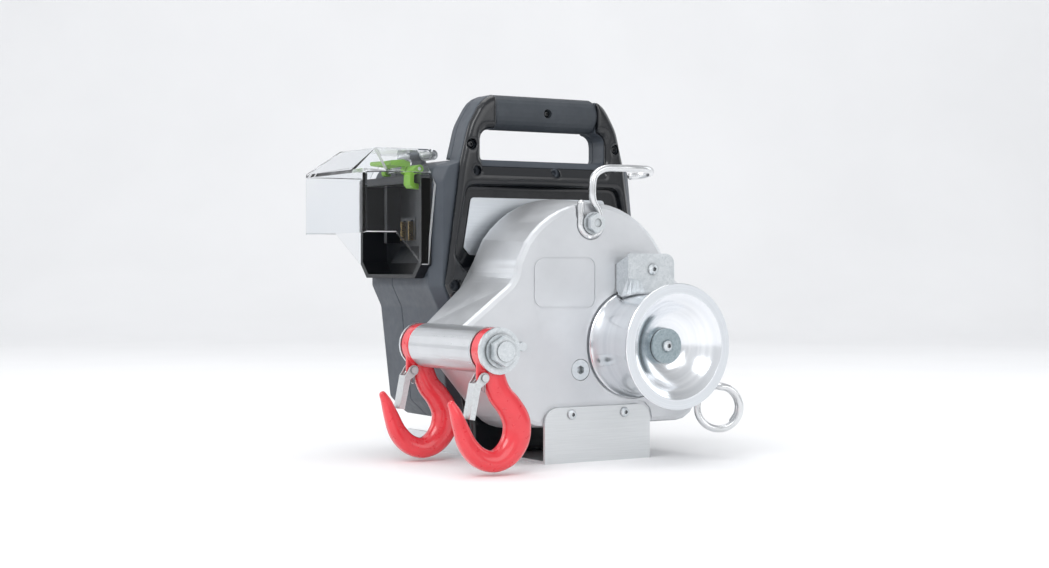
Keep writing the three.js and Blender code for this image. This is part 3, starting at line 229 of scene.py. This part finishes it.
def zinc_plate(name, dark, light, spangle=520.0):
    s = Shader(name).set(metallic=0.95)
    cells = s.cells(spangle)
    fine = s.noise(1300.0, 3.0)
    mixed = s.maths("ADD", s.maths("MULTIPLY", cells, 0.3), s.maths("MULTIPLY", fine, 0.7))
    # painted shade: the zinc's colour is darkened in recesses up to 3 mm by ambient occlusion
    s.colour(mixed, dark, light, recess_shade=0.003)
    s.rough(mixed, 0.28, 0.42)
    return s.bump((fine, 0.07, 0.0001), (s.noise(260.0), 0.06, 0.0003)).material


def brushed(name, direction, dark, light, low=0.22, high=0.38):
    s = Shader(name).set(metallic=0.95)
    streak = s.noise(1.0, 3.0, 0.6, s.stretched(*direction))
    s.colour(streak, dark, light)
    s.rough(streak, low, high)
    return s.bump((streak, 0.03, 0.0001)).material


def red_paint():
    s = Shader("red_paint").set(coat=0.85, coat_rough=0.06, specular=0.6)
    s.colour(s.noise(60.0, 3.0), (0.70, 0.014, 0.026), (0.80, 0.024, 0.040))
    s.rough(s.noise(240.0), 0.26, 0.36)
    return s.bump((s.noise(70.0, 1.0), 0.04, 0.0005)).material


def plastic(name, dark, light, low, high, grain, strength, coat=0.0):
    s = Shader(name).set(coat=coat, coat_rough=0.18)
    s.colour(s.noise(35.0, 4.0), dark, light)
    s.rough(s.noise(180.0, 3.0), low, high)
    fine = s.noise(grain, 2.0)
    coarse = s.noise(grain * 0.4)
    return s.bump((fine, strength, 0.0002), (coarse, strength, 0.0003)).material


def clear_plastic(name, transmission):
    s = Shader(name).set(transmission=transmission, ior=1.3)
    s.colour(s.noise(12.0), (0.95, 0.97, 0.985), (0.985, 0.99, 1.0))
    s.rough(s.noise(60.0, 5.0), 0.015, 0.05)
    return s.bump((s.noise(45.0, 2.0), 0.05, 0.0004)).material


drum_low, drum_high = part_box("capstan_drum")
DRUM_X = (drum_low.x + drum_high.x) / 2
DRUM_Z = (drum_low.z + drum_high.z) / 2

tube_low, tube_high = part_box("anchor_washer_inner")
TUBE_X = (tube_low.x + tube_high.x) / 2
TUBE_Z = (tube_low.z + tube_high.z) / 2
TUBE_RADIUS = (tube_high.z - tube_low.z) / 2

CAST = cast_aluminium(TUBE_X, TUBE_Z, TUBE_RADIUS)
TURNED = turned_aluminium(DRUM_X, DRUM_Z)
RIM = turned_face(DRUM_X, DRUM_Z)
ZINC = zinc_plate("zinc", (0.60, 0.64, 0.66), (0.76, 0.79, 0.81))
ZINC_DULL = zinc_plate("zinc_dull", (0.27, 0.34, 0.37), (0.45, 0.52, 0.55), 900.0)
LATCH_ZINC = zinc_plate("latch_zinc", (0.60, 0.62, 0.63), (0.72, 0.74, 0.75), 700.0)
ROD_STEEL = brushed("rod_steel", (120.0, 120.0, 120.0), (0.68, 0.69, 0.70), (0.78, 0.79, 0.80), 0.20, 0.28)
PLATE_STEEL = brushed("plate_steel", (40.0, 40.0, 1500.0), (0.66, 0.68, 0.69), (0.72, 0.74, 0.75), 0.36, 0.44)
INNER_STEEL = brushed("inner_steel", (300.0, 300.0, 300.0), (0.45, 0.46, 0.47), (0.62, 0.63, 0.64))
RED = red_paint()
BLACK = plastic("black_plastic", (0.003, 0.004, 0.006), (0.005, 0.0065, 0.009), 0.17, 0.24, 420.0, 0.02, 0.3)
GREY = plastic("grey_plastic", (0.048, 0.058, 0.073), (0.062, 0.074, 0.091), 0.42, 0.54, 1500.0, 0.10)
RUBBER = plastic("grip_rubber", (0.030, 0.037, 0.046), (0.044, 0.052, 0.062), 0.50, 0.66, 1100.0, 0.22)
DOCK = plastic("dock_plastic", (0.005, 0.006, 0.008), (0.009, 0.011, 0.014), 0.28, 0.40, 1500.0, 0.06)
GREEN = plastic("green_plastic", (0.20, 0.46, 0.03), (0.27, 0.56, 0.045), 0.34, 0.46, 1500.0, 0.05)
BOARD = plastic("board_green", (0.01, 0.12, 0.05), (0.02, 0.18, 0.07), 0.4, 0.55, 900.0, 0.1)
CLEAR = clear_plastic("clear_plastic", 1.0)
# painted highlight: a whiter, less clear plastic for the cover's cut edges
CLEAR_EDGE_HIGHLIGHT = clear_plastic("clear_edge_painted_highlight", 0.35)
LABEL = brushed("silver_label", (30.0, 900.0, 900.0), (0.60, 0.63, 0.66), (0.67, 0.70, 0.73), 0.34, 0.44)
BRASS = brushed("brass_contact", (300.0, 900.0, 300.0), (0.30, 0.20, 0.07), (0.40, 0.29, 0.12))


# ---------------------------------------------------------------- shape helpers
def new_piece(name, vertices, faces, material, body, replaced=()):
    mesh = bpy.data.meshes.new(name)
    mesh.from_pydata(vertices, [], faces)
    mesh.update()
    mesh.shade_smooth()
    mesh.materials.append(material)
    piece = bpy.data.objects.new(name, mesh)
    scene.collection.objects.link(piece)
    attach(piece, body)
    if replaced:
        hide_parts(*replaced)
    return piece


def soften(piece, width, angle=28.0, segments=2):
    """Small rounds on the hard edges, with even shading on the flats."""
    bevel = piece.modifiers.new("edge_rounds", "BEVEL")
    bevel.width = width
    bevel.segments = segments
    bevel.limit_method = "ANGLE"
    bevel.angle_limit = math.radians(angle)
    bevel.harden_normals = True


def blend(piece, voxel, passes):
    """Runs overlapping shapes together and rounds their edges, as forging or moulding does."""
    remesh = piece.modifiers.new("one_skin", "REMESH")
    remesh.mode = "VOXEL"
    remesh.voxel_size = voxel
    remesh.use_smooth_shade = True
    smooth = piece.modifiers.new("soft_edges", "SMOOTH")
    smooth.factor = 0.5
    smooth.iterations = passes


def tube(path, radius, sides=20):
    """Vertices and faces of a round rod along a path of points, with rounded ends."""
    count = len(path)
    tangents = [(path[min(i + 1, count - 1)] - path[max(i - 1, 0)]).normalized() for i in range(count)]
    side = tangents[0].orthogonal().normalized()
    stations = []
    for point, tangent in zip(path, tangents):
        side = (side - tangent * side.dot(tangent)).normalized()
        stations.append((point, tangent, side))
    start, end = stations[0], stations[-1]
    bulge = [(0.92, 0.38), (0.70, 0.70)]
    rings = [(start[0] - start[1] * radius * a * 0.6, start[1], start[2], radius * b) for a, b in bulge]
    rings += [(p, t, s, radius) for p, t, s in stations]
    rings += [(end[0] + end[1] * radius * a * 0.6, end[1], end[2], radius * b) for a, b in reversed(bulge)]
    vertices, faces = [], []
    for point, tangent, side, size in rings:
        other = tangent.cross(side)
        for k in range(sides):
            angle = 2 * math.pi * k / sides
            vertices.append(point + (side * math.cos(angle) + other * math.sin(angle)) * size)
    for r in range(len(rings) - 1):
        for k in range(sides):
            n = (k + 1) % sides
            faces.append((r * sides + k, r * sides + n, (r + 1) * sides + n, (r + 1) * sides + k))
    last = (len(rings) - 1) * sides
    faces.append(tuple(reversed(range(sides))))
    faces.append(tuple(range(last, last + sides)))
    return vertices, faces


def smooth_path(points, steps=6):
    """Centripetal Catmull-Rom curve through the points, as the CAD draws its wires."""
    points = [Vector(p) for p in points]
    chain = [points[0] * 2 - points[1], *points, points[-1] * 2 - points[-2]]
    path = []
    for p0, p1, p2, p3 in zip(chain, chain[1:], chain[2:], chain[3:]):
        t0 = 0.0
        t1 = t0 + (p1 - p0).length ** 0.5
        t2 = t1 + (p2 - p1).length ** 0.5
        t3 = t2 + (p3 - p2).length ** 0.5
        for k in range(steps):
            t = t1 + (t2 - t1) * k / steps
            a1 = p0 * ((t1 - t) / (t1 - t0)) + p1 * ((t - t0) / (t1 - t0))
            a2 = p1 * ((t2 - t) / (t2 - t1)) + p2 * ((t - t1) / (t2 - t1))
            a3 = p2 * ((t3 - t) / (t3 - t2)) + p3 * ((t - t2) / (t3 - t2))
            b1 = a1 * ((t2 - t) / (t2 - t0)) + a2 * ((t - t0) / (t2 - t0))
            b2 = a2 * ((t3 - t) / (t3 - t1)) + a3 * ((t - t1) / (t3 - t1))
            path.append(b1 * ((t2 - t) / (t2 - t1)) + b2 * ((t - t1) / (t2 - t1)))
    path.append(points[-1])
    return path


def lathe(profile, x, z, sides=144):
    """Closed ring of revolution about an axis along Y; profile rows are (radius, y) in metres."""
    vertices, faces = [], []
    for k in range(sides):
        angle = 2 * math.pi * k / sides
        vertices += [(x + r * math.cos(angle), y, z + r * math.sin(angle)) for r, y in profile]
    rows = len(profile)
    for k in range(sides):
        n = (k + 1) % sides
        for i in range(rows):
            j = (i + 1) % rows
            faces.append((k * rows + i, k * rows + j, n * rows + j, n * rows + i))
    return vertices, faces


# ---------------------------------------------------------------- capstan drum
def capstan_drum():
    """The CAD drum's profile with its curves drawn finely."""
    tail, face = drum_high.y, drum_low.y
    rear, barrel, front = 0.0413, 0.038, 0.0472
    inner = 0.0101
    profile = [(inner, tail), (rear - 0.0006, tail), (rear, tail - 0.0006), (rear, -0.0616)]
    profile += [(rear - 0.0008, -0.0624), (barrel + 0.0016, -0.0645), (barrel + 0.0007, -0.0665)]
    profile += [(barrel + 0.0002, -0.0690), (barrel, -0.0720)]
    flare = 0.0085
    for k in range(9):
        share = k / 8
        profile.append((barrel + flare * share ** 2.2, -0.100 + (face + 0.0018 + 0.100) * share))
    profile += [(front - 0.0002, face + 0.0012), (front, face + 0.0007), (front - 0.0006, face)]
    profile += [(0.0394, face), (0.0388, face + 0.0005)]
    bell = [(0.0368, -0.1182), (0.0340, -0.1162), (0.0310, -0.1130), (0.0280, -0.1099), (0.0250, -0.1073)]
    bell += [(0.0215, -0.1050), (0.0185, -0.1034), (0.0160, -0.1024), (0.0140, -0.1020), (inner, -0.1020)]
    vertices, faces = lathe(profile + bell, DRUM_X, DRUM_Z)
    drum = new_piece("drum_turned", vertices, faces, TURNED, "drum", ["capstan_drum"])
    drum.data.materials.append(RIM)
    for polygon in drum.data.polygons:
        radii = [math.hypot(vertices[i][0] - DRUM_X, vertices[i][2] - DRUM_Z) for i in polygon.vertices]
        flat = all(abs(vertices[i][1] - face) < 1e-6 for i in polygon.vertices)
        if flat and min(radii) > 0.039:
            polygon.material_index = 1
    soften(drum, 0.0002, 35.0, 1)


capstan_drum()


# ---------------------------------------------------------------- forged hooks
# centre line from neck to tip: x, z, half-width, half-thickness in mm from the eye's centre
HOOK_LINE = [
    (-2, -11, 8.6, 5.5), (-0.5, -19, 8.6, 5.7), (4, -30.5, 8.9, 6.5), (12, -40, 9.4, 7.2),
    (18, -51.5, 10.3, 7.8), (17, -63.8, 10.4, 7.8), (9.8, -73.7, 9.4, 7.8), (-1, -78.4, 7.9, 7.6),
    (-12.4, -75, 7.5, 7), (-21.4, -65.9, 6.9, 6.4), (-27.2, -53, 5.6, 5.2),
    (-31.2, -42.6, 4.1, 4), (-34.6, -36.2, 2.6, 2.4),
]
HOOK_PIN = Vector((-10.6, 0.0, -18.9))
EYE = {"radius": 16.3, "half": 5.5, "bore": 6.3}
LUG_HALF = 1.5


def merged(*shapes):
    """One list of vertices and one of faces from several closed shapes."""
    vertices, faces = [], []
    for points, polygons in shapes:
        start = len(vertices)
        vertices += points
        faces += [tuple(i + start for i in polygon) for polygon in polygons]
    return vertices, faces


def skin(rings):
    """Closed shape through rings of equal length."""
    sides = len(rings[0])
    vertices = [point for ring in rings for point in ring]
    faces = []
    for r in range(len(rings) - 1):
        for k in range(sides):
            n = (k + 1) % sides
            faces.append((r * sides + k, r * sides + n, (r + 1) * sides + n, (r + 1) * sides + k))
    last = (len(rings) - 1) * sides
    faces.append(tuple(reversed(range(sides))))
    faces.append(tuple(range(last, last + sides)))
    return vertices, faces


def disc_outline(x, z, radius, start=0.0, stop=360.0, count=32):
    step = math.radians(stop - start) / count
    first = math.radians(start)
    return [(x + radius * math.cos(first + i * step), z + radius * math.sin(first + i * step))
            for i in range(count if stop - start >= 360 else count + 1)]


def slab(outline, y0, y1):
    return skin([[Vector((x, y, z)) for x, z in outline] for y in (y0, y1)])


def hook_shank(sides=32):
    """Body of the hook: a rounded wedge section, thicker on the inside of the bend."""
    line = smooth_path([(x, z, 0.0) for x, z, _, _ in HOOK_LINE], 5)
    sizes = smooth_path([(w, t, i * 8.0) for i, (_, _, w, t) in enumerate(HOOK_LINE)], 5)
    rows = []
    for i, (point, size) in enumerate(zip(line, sizes)):
        before, after = line[max(0, i - 1)], line[min(len(line) - 1, i + 1)]
        rows.append((point, (after - before).normalized(), size.x, size.y))
    tip, along, width, thick = rows[-1]
    for reach, share in ((1.0, 0.86), (1.7, 0.55), (2.0, 0.2)):
        rows.append((tip + along * reach, along, width * share, thick * share))
    rings = []
    for point, along, width, thick in rows:
        ring = []
        for k in range(sides):
            angle = 2 * math.pi * k / sides
            c, s = math.cos(angle), math.sin(angle)
            across = math.copysign(abs(c) ** 0.9, c)
            depth = math.copysign(abs(s) ** 0.8, s) * (1.0 - 0.14 * across)
            ring.append(Vector((point.x + along.y * across * width, depth * thick,
                                point.y - along.x * across * width)))
        rings.append(ring)
    return skin(rings)


def hook_eye():
    radius, half, bore, edge = EYE["radius"], EYE["half"], EYE["bore"], 1.4
    profile = []
    for k in range(5):
        angle = math.radians(90 * k / 4)
        profile.append((radius - edge + edge * math.sin(angle), -half + edge - edge * math.cos(angle)))
    profile += [(r, -y) for r, y in reversed(profile)]
    profile += [(bore, half), (bore, -half)]
    vertices, faces = lathe(profile, 0.0, 0.0, 72)
    return [Vector(v) for v in vertices], faces


def hook_lug():
    """The thin lug that carries the latch's pin."""
    outline = [(-14.4, -6.0), *disc_outline(HOOK_PIN.x, HOOK_PIN.z, 3.9, 180, 300, 12), (0, -25), (2, -12)]
    return slab(outline, -LUG_HALF, LUG_HALF)


def pin_rooms():
    """Space beside the lug: narrow for the spring's coils, wider for the latch's ears."""
    rooms = []
    for radius, start in ((3.6, LUG_HALF), (4.5, 3.6)):
        outline = disc_outline(HOOK_PIN.x, HOOK_PIN.z, radius)
        rooms += [slab(outline, start, 9.0), slab(outline, -9.0, -start)]
    return merged(*rooms)


def mesh_object(name, shape):
    mesh = bpy.data.meshes.new(name)
    mesh.from_pydata([Vector(v) * MM for v in shape[0]], [], shape[1])
    mesh.update()
    made = bpy.data.objects.new(name, mesh)
    scene.collection.objects.link(made)
    return made


def carved(shape, cutter):
    """The shape with every closed part of the cutter taken out of it."""
    body, tool = mesh_object("blank", shape), mesh_object("tool", cutter)
    boolean = body.modifiers.new("rooms", "BOOLEAN")
    boolean.operation, boolean.object, boolean.solver = "DIFFERENCE", tool, "EXACT"
    boolean.use_self = True
    result = body.evaluated_get(bpy.context.evaluated_depsgraph_get()).to_mesh()
    vertices = [v.co / MM for v in result.vertices]
    faces = [tuple(p.vertices) for p in result.polygons]
    bpy.data.objects.remove(body)
    bpy.data.objects.remove(tool)
    return vertices, faces


def forged_hook(name, body):
    low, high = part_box(f"{name}_hook")
    pin_low, pin_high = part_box(f"{name}_latch_pin")
    pin = (pin_low + pin_high) / 2
    centre = Vector((pin.x, (low.y + high.y) / 2, pin.z)) - HOOK_PIN * MM
    vertices, faces = merged(carved(hook_shank(), pin_rooms()), hook_eye(), hook_lug())
    placed = [centre + v * MM for v in vertices]
    hook = new_piece(f"{name}_hook_forged", placed, faces, RED, body, [f"{name}_hook"])
    blend(hook, 0.00055, 5)


forged_hook("front", "front_anchor_hook")
forged_hook("rear", "rear_anchor_hook")


# ---------------------------------------------------------------- bent rods
def around(x, z, radius, y, start, stop, count):
    points = []
    for k in range(count + 1):
        angle = math.radians(start + (stop - start) * k / count)
        points.append((x + radius * math.cos(angle), y, z + radius * math.sin(angle)))
    return points


ROD = 2.75
ROD_Y = -60.05
UPPER_HOOK = [
    (-11.6, ROD_Y, 197), (-12.4, ROD_Y, 189), *around(-3, 181, 9.5, ROD_Y, 165, 378, 8),
    (3.2, ROD_Y - 0.4, 191), (-1.6, ROD_Y - 1.2, 198), (-2.6, ROD_Y - 1.6, 208),
    (-0.6, ROD_Y - 1.6, 217), (7, ROD_Y - 1.6, 222.3), (22, ROD_Y - 1.6, 223.4),
    (38, ROD_Y - 1.6, 223.6), (50, ROD_Y + 1, 223.4), (58, ROD_Y + 8, 222.4),
    (60.5, ROD_Y + 15, 221), (56, ROD_Y + 21, 219.6), (48, ROD_Y + 22, 219),
]


def ring_route():
    """Eye round the lower bolt, a short leg, then nearly one and a half turns."""
    centre, radius, turns, count = Vector((97, -88, 38.8)), 16.6, 1.45, 20
    side = Vector((math.cos(math.radians(-24)), math.sin(math.radians(-24)), 0))
    away = Vector((side.y, -side.x, 0))
    route = [Vector(p) for p in around(82, 61, 9.5, ROD_Y, 60, 312, 8)]
    route += [Vector((91.9, ROD_Y - 1, 56)), Vector((93.8, ROD_Y - 5, 58)), Vector((92.4, ROD_Y - 11, 59))]
    for k in range(1, count + 1):
        angle = math.radians(118) - k / count * turns * 2 * math.pi
        depth = (0.5 - k / count) * 9.5
        route.append(centre + side * (radius * math.cos(angle)) + away * depth
                     + Vector((0, 0, radius * math.sin(angle))))
    return route


def bent_rod(name, route, node):
    path = smooth_path([Vector(p) * MM for p in route], 7)
    vertices, faces = tube(path, ROD * MM)
    new_piece(name, vertices, faces, ROD_STEEL, "housing", [node])


bent_rod("rope_hook_rod", UPPER_HOOK, "upper_rope_hook")
bent_rod("rope_ring_rod", ring_route(), "lower_rope_ring")


# ---------------------------------------------------------------- finishes of the CAD nodes
FINISHES = {
    CAST: ["gear_case", "gear_case_cover", "bearing_plate"],
    ZINC: ["rope_keeper", "keeper_screw", "upper_hook_bolt", "lower_ring_bolt", "anchor_washer_front",
           "anchor_washer_inner", "anchor_washer_rear", "anchor_bolt", "anchor_nut", "base_screw_1",
           "base_screw_2", "drum_screw", "oil_plug", "vent_plug"],
    ZINC_DULL: ["drum_washer"],
    LATCH_ZINC: ["front_hook_latch", "rear_hook_latch", "front_latch_pin", "rear_latch_pin"],
    INNER_STEEL: ["output_bearing_front", "output_bearing_rear", "output_shaft", "intermediate_gear",
                  "motor_pinion", "intermediate_pinion", "output_gear", "intermediate_shaft", "motor",
                  "motor_shaft", "latch_pin", "cover_hinge_pin", "front_latch_spring", "rear_latch_spring"],
    PLATE_STEEL: ["base_plate"],
    BLACK: ["front_shell", "grip_screw", "post_screw_1", "post_screw_2", "speed_dial"],
    DOCK: ["battery_dock"],
    GREY: ["middle_shell", "handle_rear_shell", "rear_shell"],
    RUBBER: ["handle_grip"],
    GREEN: ["latch_lever", "battery_pawl", "start_button"],
    BOARD: ["control_board"],
    CLEAR: ["battery_cover"],
    LABEL: ["label_plate"],
    BRASS: ["dock_terminal_1", "dock_terminal_2"],
}
MOULDED = {"front_shell": 14, "middle_shell": 4, "rear_shell": 4, "handle_rear_shell": 6}
EDGE_ROUND = {
    "gear_case": 0.0008, "handle_grip": 0.0008, "battery_dock": 0.0006, "battery_cover": 0.0009,
    "base_plate": 0.0004, "rope_keeper": 0.0004, "latch_lever": 0.0006, "battery_pawl": 0.0004,
    "speed_dial": 0.0008, "start_button": 0.0008, "anchor_bolt": 0.0006, "anchor_nut": 0.0006,
    "front_hook_latch": 0.0003, "rear_hook_latch": 0.0003,
}


def dress(node, material):
    piece = nodes[node]
    piece.data.materials.clear()
    piece.data.materials.append(material)
    piece.data.shade_smooth()
    if node in MOULDED:
        blend(piece, 0.0008, MOULDED[node])
        return
    flats = piece.modifiers.new("flats", "DECIMATE")
    flats.decimate_type = "DISSOLVE"
    flats.angle_limit = math.radians(1.5)
    soften(piece, EDGE_ROUND.get(node, 0.0003))


def light_edges(node, material, rim_x):
    """The cut edges of clear plastic gather light: the lower rim and the free rim to the right get a whiter,
    less clear material as a painted highlight.
    """
    mesh = nodes[node].data
    mesh.materials.append(material)
    for polygon in mesh.polygons:
        lower = polygon.normal.z < -0.8
        free = polygon.normal.x > 0.8 and polygon.center.x > rim_x
        polygon.material_index = int(lower or free)


for material, names in FINISHES.items():
    for node in names:
        dress(node, material)
light_edges("battery_cover", CLEAR_EDGE_HIGHLIGHT, -0.103)


# ---------------------------------------------------------------- floor, light
def make_floor():
    """A wide pale sweep that curves up far behind the object."""
    depth, rise, bend, segments = 3.0, 2.6, 0.9, 16
    profile = [(-3.0, 0.0), (depth - bend, 0.0)]
    for k in range(1, segments + 1):
        angle = math.radians(90 * k / segments)
        profile.append((depth - bend + bend * math.sin(angle), bend - bend * math.cos(angle)))
    profile.append((depth, rise))
    vertices = [(x, y, z) for y, z in profile for x in (-5.0, 5.0)]
    faces = [(2 * i, 2 * i + 1, 2 * i + 3, 2 * i + 2) for i in range(len(profile) - 1)]
    mesh = bpy.data.meshes.new("floor")
    mesh.from_pydata(vertices, [], faces)
    mesh.shade_smooth()
    s = Shader("floor")
    s.colour(s.noise(3.0), (0.90, 0.90, 0.905), (0.93, 0.93, 0.935))
    s.rough(s.noise(8.0), 0.7, 0.8)
    mesh.materials.append(s.material)
    floor = bpy.data.objects.new("floor", mesh)
    floor.matrix_world = Matrix.Rotation(VIEW_TURN, 4, "Z")
    scene.collection.objects.link(floor)


def area_light(name, place, target, size, power, tint=(1.0, 1.0, 1.0)):
    data = bpy.data.lights.new(name, "AREA")
    data.shape = "RECTANGLE"
    data.size, data.size_y = size
    data.energy = power
    data.color = tint
    light = bpy.data.objects.new(name, data)
    light.location = place
    light.rotation_euler = (Vector(target) - Vector(place)).to_track_quat("-Z", "Y").to_euler()
    scene.collection.objects.link(light)


def make_world():
    """Pale surroundings, a little darker to the right and behind."""
    world = bpy.data.worlds.new("studio")
    world.use_nodes = True
    tree = world.node_tree
    place = tree.nodes.new("ShaderNodeTexCoord")
    parts = tree.nodes.new("ShaderNodeSeparateXYZ")
    tree.links.new(place.outputs["Generated"], parts.inputs["Vector"])
    spread = tree.nodes.new("ShaderNodeMapRange")
    spread.inputs["From Min"].default_value = -1.0
    spread.inputs["To Min"].default_value = 0.95
    spread.inputs["To Max"].default_value = 0.45
    tree.links.new(parts.outputs["X"], spread.inputs["Value"])
    background = tree.nodes["Background"]
    background.inputs["Color"].default_value = (0.96, 0.975, 1.0, 1.0)
    tree.links.new(spread.outputs["Result"], background.inputs["Strength"])
    scene.world = world


make_floor()
make_world()
area_light("key", (-1.6, -1.2, 1.7), (0, 0, 0.15), (1.4, 1.2), 20.0)
area_light("front", (0.5, -2.0, 0.9), (0, 0, 0.15), (1.6, 1.0), 7.0)
area_light("side", (1.9, -0.3, 0.8), (0, 0, 0.15), (0.8, 1.4), 5.0, (0.95, 0.98, 1.0))
area_light("top", (-0.1, 0.3, 2.0), (0, 0, 0.1), (1.5, 1.5), 13.0)
area_light("rear_left", (-1.6, 1.5, 1.0), (0, 0, 0.15), (1.0, 1.0), 6.0)
scene.view_settings.view_transform = "Standard"
